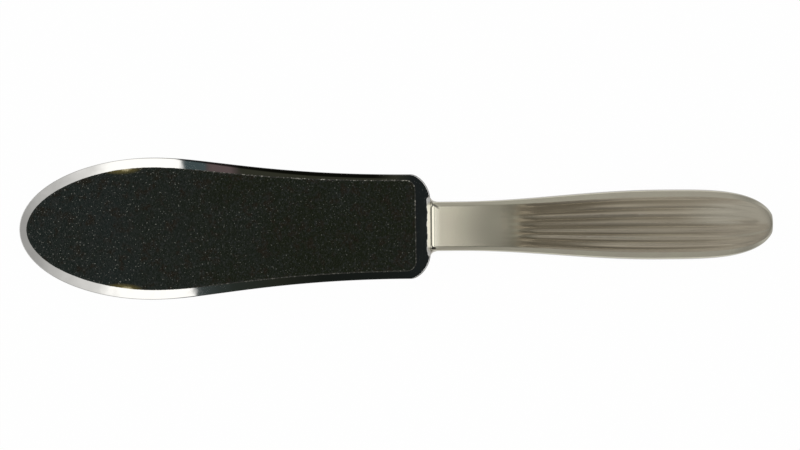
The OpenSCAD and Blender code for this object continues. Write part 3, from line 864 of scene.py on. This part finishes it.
# %% Polished steel
def polished_steel():
    recipe, close = finish_named("polished_steel", Metallic=1.0)
    place = recipe.place_mm()
    x_mm, y_mm = recipe.parts(place)[:2]
    run = x_mm - tip_x
    waves = recipe.noise(place, 0.1, 2.0, 0.4)
    smudges = recipe.noise(place, 0.35, 4.0, 0.6).rise(0.5, 0.75)
    hairlines = recipe.noise(recipe.drawn_out(place, 0.4, 9.0), 1.0, 3.0, 0.6)
    filed, ground = recipe.stored("filed"), recipe.stored("ground")
    # Painted shadow in the crevice where the paddle meets the mouth
    crevice_shadow = x_mm.rise(joint_x - 0.12, joint_x - 0.06)
    width = LINE_WIDTH + run.rise(*line_widens) * LINE_GAIN
    line = 1 - recipe.stored("from_edge").rise(width + line_soft[0], width + line_soft[1])
    line = line * y_mm.rise(*line_y)
    line = line * run.rise(*line_starts) * (1 - run.rise(*line_ends))

    colour = recipe.mix(smudges * 0.5, mirror_steel, smudged_steel)
    # Painted shade on the filed edge, at the rear and at the tip; the filing also makes it rougher
    colour = recipe.mix(filed * run.rise(*filed_rear_from), colour, filed_edge_shade)
    colour = recipe.mix(filed * (1 - run.rise(*filed_tip_ends)), colour, filed_tip_shade)
    colour = recipe.mix(line, colour, line_steel)
    colour = recipe.mix(ground, colour, ground_steel)
    colour = recipe.mix(crevice_shadow, colour, crevice_shadow_colour)
    roughness = 0.015 + smudges * 0.012 + hairlines.rise(0.6, 0.8) * 0.01 + filed * 0.2 + ground * 0.3
    normal = recipe.bump(waves + hairlines * 0.006, 0.1, 0.1)
    return close(Base_Color=colour, Roughness=roughness, Normal=normal)


polish = polished_steel()

# %% [markdown]
# ## The paddle
# The paddle's outline is an elliptic tip, an S-shaped flank and a rounded rear corner. The plate is a stack
# of rings of that outline, drawn in step by step. Along the sides the steps follow a quarter circle, the
# broken edge. Along the rear they follow the straight slope of a bevel that was ground by hand, so its inner
# line wanders a little. At the rear corners one profile turns into the other.

# %% Paddle sizes
blade_w, blade_widest_at, blade_rear_w = 47.2, 44.5, 34.7
EDGE_ROUNDING, bevel_h, rear_round_l, rear_round_w = 0.22, 0.6, 6.6, 8.6
flank_front_share, flank_rear_share, plate_tip_power, corner_power = 0.2, 0.55, 2.0, 1.8
TIP_POINTS, FLANK_POINTS, CORNER_POINTS = 90, 110, 26


def paddle_half(x0, length, widest, half_width, rear_half, round_l, round_w, tip_power, power):
    """Upper half of a paddle-shaped outline, from its tip to the end of its rounded rear corner."""
    a = np.linspace(0, np.pi / 2, TIP_POINTS)
    tip = [x0 + widest * (1 - np.cos(a) ** (2 / tip_power)), half_width * np.sin(a) ** (2 / tip_power)]
    t = np.linspace(0, 1, FLANK_POINTS)[1:]
    front, rear = 3 * t * (1 - t) ** 2, 3 * t * t * (1 - t)
    run = (length - round_l - widest) * (front * flank_front_share + rear * (1 - flank_rear_share) + t ** 3)
    flank = [x0 + widest + run, half_width * ((1 - t) ** 3 + front) + rear_half * (rear + t ** 3)]
    c = np.linspace(0, np.pi / 2, CORNER_POINTS)[1:]
    corner = [x0 + length - round_l * (1 - np.sin(c) ** (2 / power)),
              rear_half - round_w * (1 - np.cos(c) ** (2 / power))]
    return np.concatenate([tip, flank, corner], axis=1).T


def whole(half):
    """A half outline and its mirror image back to the tip."""
    return np.concatenate([half, half[:0:-1] * [1, -1]])


# %% Rings of the plate
REAR_POINTS, EDGE_STEPS = 40, 14
# Two more rings lie on the flat face: one just inside the edge, and one further in, so that a value stored on
# the rings can say how far a place is from the edge
INNER_RING = 2.5
rear_along, rear_drop = bevel_profile(bevel_h, 28, low_r=0.05, high_r=0.2, steps=EDGE_STEPS // 2)
bevel_l = rear_along[-1]
edge_turn = np.linspace(0, np.pi / 2, EDGE_STEPS)
rear_along, rear_drop = np.append(rear_along, bevel_l + INNER_RING), np.append(rear_drop, 0)
side_along = np.append(EDGE_ROUNDING * (1 - np.cos(edge_turn)), [EDGE_ROUNDING + LAND, INNER_RING])
side_drop = np.append(EDGE_ROUNDING * (1 - np.sin(edge_turn)), [0, 0])
RINGS = len(side_along)
# The side's edge turns into the rear's bevel over these angles of the rounded corner
CORNER_TURN_FROM, CORNER_TURN = 74, 11
corner_angle = np.linspace(0, 90, CORNER_POINTS)[1:]
at_rear = np.concatenate([np.zeros(TIP_POINTS + FLANK_POINTS - 1),
                          ease((corner_angle - CORNER_TURN_FROM) / CORNER_TURN), np.ones(REAR_POINTS)])
# Waves in the bevel's inner line: height in millimetres, radians a millimetre, and where each starts
grinding_waves = (0.10, 0.9, 1), (0.07, 2.3, 0), (0.05, 5.1, 0)


def plate_ring(k):
    """Ring k of the upper half of the plate, from the foot of its edge, 0, to its top."""
    side_in = side_along[k]
    half = paddle_half(tip_x + side_in, blade_l - 2 * side_in, blade_widest_at - side_in,
                       blade_w / 2 - side_in, blade_rear_w / 2 - side_in, rear_round_l, rear_round_w,
                       plate_tip_power, corner_power)
    down = half[-1, 1] * np.linspace(1, 0, REAR_POINTS + 1)[1:]
    half = np.concatenate([half, np.stack([np.full(REAR_POINTS, half[-1, 0]), down], -1)])
    ring = np.insert(whole(half[:-1]), len(half) - 1, half[-1], axis=0)
    weight = np.concatenate([at_rear, at_rear[-2:0:-1]])
    wander = sum(size * np.sin(ring[:, 1] * rate + start) for size, rate, start in grinding_waves)
    ring[:, 0] -= weight * (rear_along[k] - side_in + wander * min(1, rear_along[k] / bevel_l))
    height = plate_h - (side_drop[k] * (1 - weight) + rear_drop[k] * weight)
    return np.concatenate([ring, height[:, None]], axis=1), weight


rings = [plate_ring(k) for k in range(RINGS)]
upper = [ring for ring, weight in rings]
plate_rings = [ring * [1, 1, -1] for ring in upper[::-1]] + upper
ring_count = len(upper[0])
plate_points = np.concatenate(plate_rings)
plate_faces = strips(len(plate_rings), ring_count, flip=True) + end_faces(len(plate_points), ring_count)
print(f"plate: {len(plate_rings)} rings of {ring_count} points")

# %% How each ring of the plate was finished
# The edge is filed, and not polished, until it has turned this far from upright. The last rings lie level.
FILED_TO_DEG, FILED_BLEND_DEG, LEVEL_RINGS = 75, 25, 3
turned_deg = np.degrees(np.pad(edge_turn, (0, RINGS - EDGE_STEPS), mode="edge"))
filed_share = ease((FILED_TO_DEG - turned_deg) / FILED_BLEND_DEG)
filed = [(1 - weight) * share for (ring, weight), share in zip(rings, filed_share)]
ground = [weight * (k < RINGS - LEVEL_RINGS) for k, (ring, weight) in enumerate(rings)]
from_edge = [np.full(ring_count, inward) for inward in side_along]

# %% The tang, which runs on into the handle
TANG_CHAMFER = 1.5
tang_end, tang_root = joint_x + tang_l, joint_x - rear_round_l
tang_line = np.array([(tang_root, tang_half_w), (tang_end - TANG_CHAMFER, tang_half_w),
                      (tang_end, tang_half_w - TANG_CHAMFER)])
tang_line = np.concatenate([tang_line, tang_line[::-1] * mirror])
tang_points, tang_faces = slab(tang_line, -tang_h, tang_h)
plate_faces += counted_from(len(plate_points), tang_faces)
plate = make_piece("paddle_plate", np.concatenate([plate_points, tang_points]), plate_faces, polish,
                   "polished_steel", sharp_deg=30.0)
for name, values in (("filed", filed), ("ground", ground), ("from_edge", from_edge)):
    store(plate, name, np.pad(np.concatenate(values[::-1] + values), (0, len(tang_points))))

# %% [markdown]
# ## The weld in the corners of the neck
# On each side a small fillet of weld fills the corner between the paddle's rear edge and the neck. It is made
# of hollow arcs, stacked from below to above, which shrink towards the two faces.

# %% Neck welds
weld_low, weld_high = box_mm("neck_weld")
WELD_LEG_X, WELD_LEG_Y = weld_high[0] - weld_low[0], weld_high[1] - neck_w / 2
WELD_HOLLOW, WELD_SINK, WELD_OVERLAP, WELD_HEIGHT_SHARE = 0.3, 0.25, 0.05, 0.62
# How much the arcs shrink from the middle to the faces, and how uneven they are
WELD_TAPER, WELD_RIPPLE, WELD_RIPPLE_RATE = 0.9, 0.05, 7
WELD_LAYERS, ARC_POINTS = 15, 13
weld_levels = np.linspace(-1, 1, WELD_LAYERS)
neck_points, neck_faces = [], []
for side in (1, -1):
    start = len(neck_points)
    for level in weld_levels:
        swell = math.sqrt(1 - (WELD_TAPER * level) ** 2)
        swell *= 1 + WELD_RIPPLE * math.sin(WELD_RIPPLE_RATE * level + side)
        t = np.linspace(0, 1, ARC_POINTS)
        hollow = 4 * WELD_HOLLOW * t * (1 - t)
        leg_x, leg_y = WELD_LEG_X * swell, WELD_LEG_Y * swell
        arc = np.stack([joint_x + leg_x * (t - hollow * t) - WELD_OVERLAP,
                        neck_w / 2 + leg_y * (1 - t) * (1 - hollow)], -1)
        line = np.concatenate([[(joint_x - WELD_OVERLAP, neck_w / 2 - WELD_SINK)], arc,
                               [(joint_x + leg_x, neck_w / 2 - WELD_SINK)]])
        neck_points += [(x, side * y, level * plate_h * WELD_HEIGHT_SHARE) for x, y in line]
    total, count = len(neck_points) - start, len(line)
    fillet = strips(len(weld_levels), count, flip=side > 0) + end_faces(total, count, flip=side < 0)
    neck_faces += counted_from(start, fillet)
make_piece("neck_weld", neck_points, neck_faces, weld, "weld_steel")

# %% [markdown]
# ## The abrasive sheets
# A sheet is a stiff backing with a glue on its lower face and a coat of silicon carbide grains on its upper
# face. It was cut with a die, so its edge is a little ragged and shows the pale core of the backing. Each
# sheet was stuck on by hand, slightly askew.

# %% Sheet outlines
tip_margin, side_margin, rear_side_margin, rear_margin = 2.4, 3.2, 2.15, 4.9
sheet_corner_r, sheet_tip_power, sheet_skew_deg, sheet_pivot_share = 3.3, 1.92, 0.4, 0.6
TIP_CUT, tip_cut_from, tip_cut_run = 0.45, tip_x + 70, 50.0
# Where the grit begins to lie further in from the backing's rim, and where it lies furthest in
bare_from, bare_to = tip_x + 40, tip_x + 75
# The share of the raggedness that each of its two parts has, and how many points lie between its slow knots
RAG_SHARE, POINTS_PER_KNOT = 0.6, 9


def sheet_half(inset):
    return paddle_half(tip_x + tip_margin + inset, blade_l - tip_margin - rear_margin - 2 * inset,
                       blade_widest_at - tip_margin - inset, blade_w / 2 - side_margin - inset,
                       blade_rear_w / 2 - rear_side_margin - inset, sheet_corner_r, sheet_corner_r,
                       sheet_tip_power, power=2)


def skewed(points):
    """Turned about the sheet's pivot by its skew. Its tip was also cut a little to one side."""
    points = np.array(points, float)
    points[:, 1] += TIP_CUT * ease((tip_cut_from - points[:, 0]) / tip_cut_run)
    turn, pivot = math.radians(sheet_skew_deg), np.array([tip_x + sheet_pivot_share * blade_l, 0.0])
    spin = np.array([[math.cos(turn), math.sin(turn)], [-math.sin(turn), math.cos(turn)]])
    return (points - pivot) @ spin + pivot


def even_line(points, step):
    """The closed outline again, with points at even steps."""
    closed = np.concatenate([points, points[:1]])
    run = np.concatenate([[0], np.cumsum(np.linalg.norm(np.diff(closed, axis=0), axis=1))])
    at = np.linspace(0, run[-1], int(run[-1] / step), endpoint=False)
    return np.stack([np.interp(at, run, closed[:, k]) for k in range(2)], -1)


def ragged_line(inset, step, rag, seed, bare_edge=0.0):
    """An outline drawn in by inset, with an uneven edge, and drawn in by bare_edge more at the rear."""
    rng = np.random.default_rng(seed)
    line = even_line(whole(sheet_half(inset)), step)
    heading = np.roll(line, -1, axis=0) - np.roll(line, 1, axis=0)
    inward = np.stack([heading[:, 1], -heading[:, 0]], -1) / np.linalg.norm(heading, axis=1, keepdims=True)
    knots = len(line) // POINTS_PER_KNOT
    slow = np.interp(np.arange(len(line)), np.linspace(0, len(line), knots), rng.uniform(-1, 1, knots))
    quick = rng.uniform(-1, 1, len(line))
    bare = bare_edge * ease((line[:, 0] - bare_from) / (bare_to - bare_from))
    return line + inward * (rag * RAG_SHARE * (quick + slow) + bare)[:, None]


print("sheet:", np.round(np.ptp(whole(sheet_half(0)), axis=0), 1), "mm")


# %% Backing material
dark_backing, pale_core = (0.035, 0.036, 0.03), (0.62, 0.61, 0.54)
# The core shows least on the -Y side
LEAST_CORE, core_side = 0.35, (-14, 8)


def sheet_backing_material():
    recipe, close = finish_named("sheet_backing", Roughness=0.7)
    place = recipe.place_mm()
    fibres = recipe.noise(place, 1.15, 3.0, 0.6)
    torn = recipe.noise(place, 1.6, 3.0, 0.7)
    pale = torn.rise(0.48, 0.60) * 0.10 + fibres.rise(0.52, 0.62) * 0.9
    pale = pale * (LEAST_CORE + recipe.parts(place)[1].rise(*core_side) * (1 - LEAST_CORE))
    colour = recipe.mix(pale, dark_backing, pale_core)
    return close(Base_Color=colour, Normal=recipe.bump(fibres, 0.5, 0.08))


# %% Backings
BACKING_STEP, BACKING_RAG = 0.3, 0.06
backing_line = skewed(ragged_line(0.0, BACKING_STEP, BACKING_RAG, seed=11))
on_both_sides("sheet_backing", *slab(backing_line, backing_low[2], backing_high[2]), sheet_backing_material(),
              "sheet_backing", smooth=False)

# %% [markdown]
# ## The grit
# Grains of silicon carbide are shards with flat, glassy faces. Each grain that turns a face to a light
# sparkles. A bumpy material can't sparkle well, so the coat is real geometry: a triangulated field of points
# a grain apart, each at its own height, shaded flat. Bright specks of painted highlight are added in its
# colour.
# Its rim is as ragged as the die left it, and stays just inside the backing's rim, so that a thin broken line
# of the backing shows. At the widest part of the paddle, at both edges, lies a patch of amber painted light
# with a few pale painted glints in it.

# %% Colours and places on the grit
cool_grit, warm_grit, rusty_grit = (0.0145, 0.023, 0.0225), (0.0085, 0.013, 0.0036), (0.016, 0.0115, 0.005)
# The last colour on this line is a painted highlight: bright specks among the grains
shard_grit, glint_speck_grit = (0.026, 0.031, 0.029), (0.25, 0.255, 0.23)
# Painted light at the sheet's edge: an amber glow and pale glints
amber_glow, pale_glint = (0.17, 0.14, 0.045), (0.8, 0.72, 0.45)
# Distances from the tip, and the distance of both patches of painted light from the middle line
cool_ends, glow_at, glint_at, glow_y = (5, 95), 33.5, 35.5, 20.25


# %% Grit materials
def grit_material(name, grain_scale):
    recipe, close = finish_named(name, IOR=1.24)
    place = recipe.place_mm()
    x_mm, y_mm = recipe.parts(place)[:2]
    run = x_mm - tip_x
    drift = recipe.noise(place, 0.05, 3.0, 0.5)
    patches = recipe.noise(place, 0.3, 3.0, 0.6)
    grains = recipe.noise(place, grain_scale, 2.0, 0.5)
    shards = recipe.noise(place, 0.42 * grain_scale, 2.0, 0.6)
    glint_specks = recipe.noise(place, 0.6 * grain_scale, 1.0, 0.5)
    cool = (1 - run.rise(*cool_ends)) * 0.8 + (drift - 0.5) * 1.2
    colour = recipe.mix(cool, warm_grit, cool_grit)
    colour = recipe.mix(patches.rise(0.5, 0.66) * 0.8, colour, rusty_grit)
    colour = recipe.mix(shards.rise(0.46, 0.68) * (0.7 + cool * 0.4), colour, shard_grit)
    # Painted highlights: bright specks, more of them where the grit is cool
    colour = recipe.mix(glint_specks.rise(0.67, 0.74) * (0.5 + cool * 0.8), colour, glint_speck_grit)
    off_edge = (y_mm.squared() - glow_y ** 2).squared() * 0.0004 + patches + grains
    off_glow = (run - glow_at).squared() * 0.05 + off_edge
    off_glint = (run - glint_at).squared() * 0.2 + off_edge
    # Painted light: an amber glow, with pale painted glints in it
    colour = recipe.mix(1 - off_glow.rise(1.2, 4.5), colour, amber_glow)
    colour = recipe.mix(1 - off_glint.rise(1.0, 2.2), colour, pale_glint)
    return close(Base_Color=colour, Roughness=0.35 + grains * 0.2, Normal=recipe.bump(grains, 0.3, 0.05))


# %% A coat of grains
GRAIN_STEP, GRAIN_JITTER, GRIT_BASE = 0.36, 0.12, backing_high[2]
RIM_INSET, RIM_RAG, BARE_EDGE, FIELD_INSET, FIELD_LEAD = 0.05, 0.05, 0.30, 0.62, 0.1
# How far the grains of the rim lie below the mean, in grain heights
rim_sinks = 0.2, 1.4
# The triangulation keeps what lies inside the rim, and takes points closer than this for one
KEEP_INSIDE, SAME_POINT_MM = 1, 1e-7


def grain_field():
    """Rows of points a grain apart, as close as balls in a tray, over the inner part of the sheet."""
    inner = sheet_half(FIELD_INSET)
    xs = np.arange(inner[0, 0] + FIELD_LEAD, inner[-1, 0], GRAIN_STEP * math.sqrt(0.75))
    rows_of_grains = []
    for k, x in enumerate(xs):
        reach = int(np.interp(x, inner[:, 0], inner[:, 1]) / GRAIN_STEP)
        y = (np.arange(-reach, reach + 1) + (k % 2 - 0.5) / 2) * GRAIN_STEP
        rows_of_grains.append(np.stack([np.full(len(y), x), y], -1))
    return np.concatenate(rows_of_grains)


def grit_coat(mean_z, grain_h, seed):
    """Points and faces of a closed slab whose upper side is a field of grains."""
    rng = np.random.default_rng(seed)
    rim = ragged_line(RIM_INSET, GRAIN_STEP, RIM_RAG, seed, bare_edge=BARE_EDGE)
    field = grain_field()
    field = field + rng.uniform(-GRAIN_JITTER, GRAIN_JITTER, field.shape)
    flat, n = skewed(np.concatenate([rim, field])), len(rim)
    made = geometry.delaunay_2d_cdt([Vector(p) for p in flat.tolist()], [], [list(range(n))],
                                    KEEP_INSIDE, SAME_POINT_MM)
    spots, triangles = np.array([tuple(v) for v in made[0]]), np.array(made[2])
    a, b, c = spots[triangles[:, 0]], spots[triangles[:, 1]], spots[triangles[:, 2]]
    turn = (b - a)[:, 0] * (c - a)[:, 1] - (b - a)[:, 1] * (c - a)[:, 0]
    triangles[turn < 0] = triangles[turn < 0][:, ::-1]
    heights = mean_z + grain_h * rng.uniform(-1, 1, len(spots))
    heights[:n] = mean_z - grain_h * rng.uniform(*rim_sinks, n)
    top = np.concatenate([spots, heights[:, None]], 1)
    low = np.concatenate([spots[:n], np.full((n, 1), GRIT_BASE)], 1)
    m = len(top)
    # The rim's points run from the tip along the +Y side, which is clockwise from above
    walls = [[i, (i + 1) % n, m + (i + 1) % n, m + i] for i in range(n)]
    return np.concatenate([top, low]), triangles.tolist() + walls + [[m + i for i in range(n)]]


for side, slot, mean_z, grain_h, scale, seed in (("front", "coarse_grit", front_grit_z, 0.12, 3.0, 5),
                                                 ("back", "fine_grit", -back_grit_z, 0.06, 6.0, 6)):
    points, faces = grit_coat(mean_z, grain_h, seed)
    points = points if side == "front" else turned_over(points)
    make_piece(f"{side}_grit_coat", points, faces, grit_material(slot, scale), slot, smooth=False)

# %% [markdown]
# ## The glue
# The film of glue under each sheet is flat and stays just inside the sheet's edge. It is a plain slab
# between two outlines: amber, a little glossy, with the small bubbles of a hand-laid film.


# %% Glue
def adhesive():
    recipe, close = finish_named("adhesive", IOR=1.47)
    bubbles = recipe.noise(recipe.place_mm(), 1.4, 3.0, 0.5).rise(0.55, 0.7)
    colour = recipe.mix(bubbles, (0.55, 0.47, 0.30), (0.68, 0.62, 0.47))
    return close(Base_Color=colour, Roughness=0.25 + bubbles * 0.25, Normal=recipe.bump(bubbles, 0.3, 0.05))


FILM_INSET, FILM_STEP = 0.5, 1.0
film_line = skewed(even_line(whole(sheet_half(FILM_INSET)), FILM_STEP))
on_both_sides("adhesive_film", *slab(film_line, film_low[2], film_high[2]), adhesive(), "adhesive",
              smooth=False)
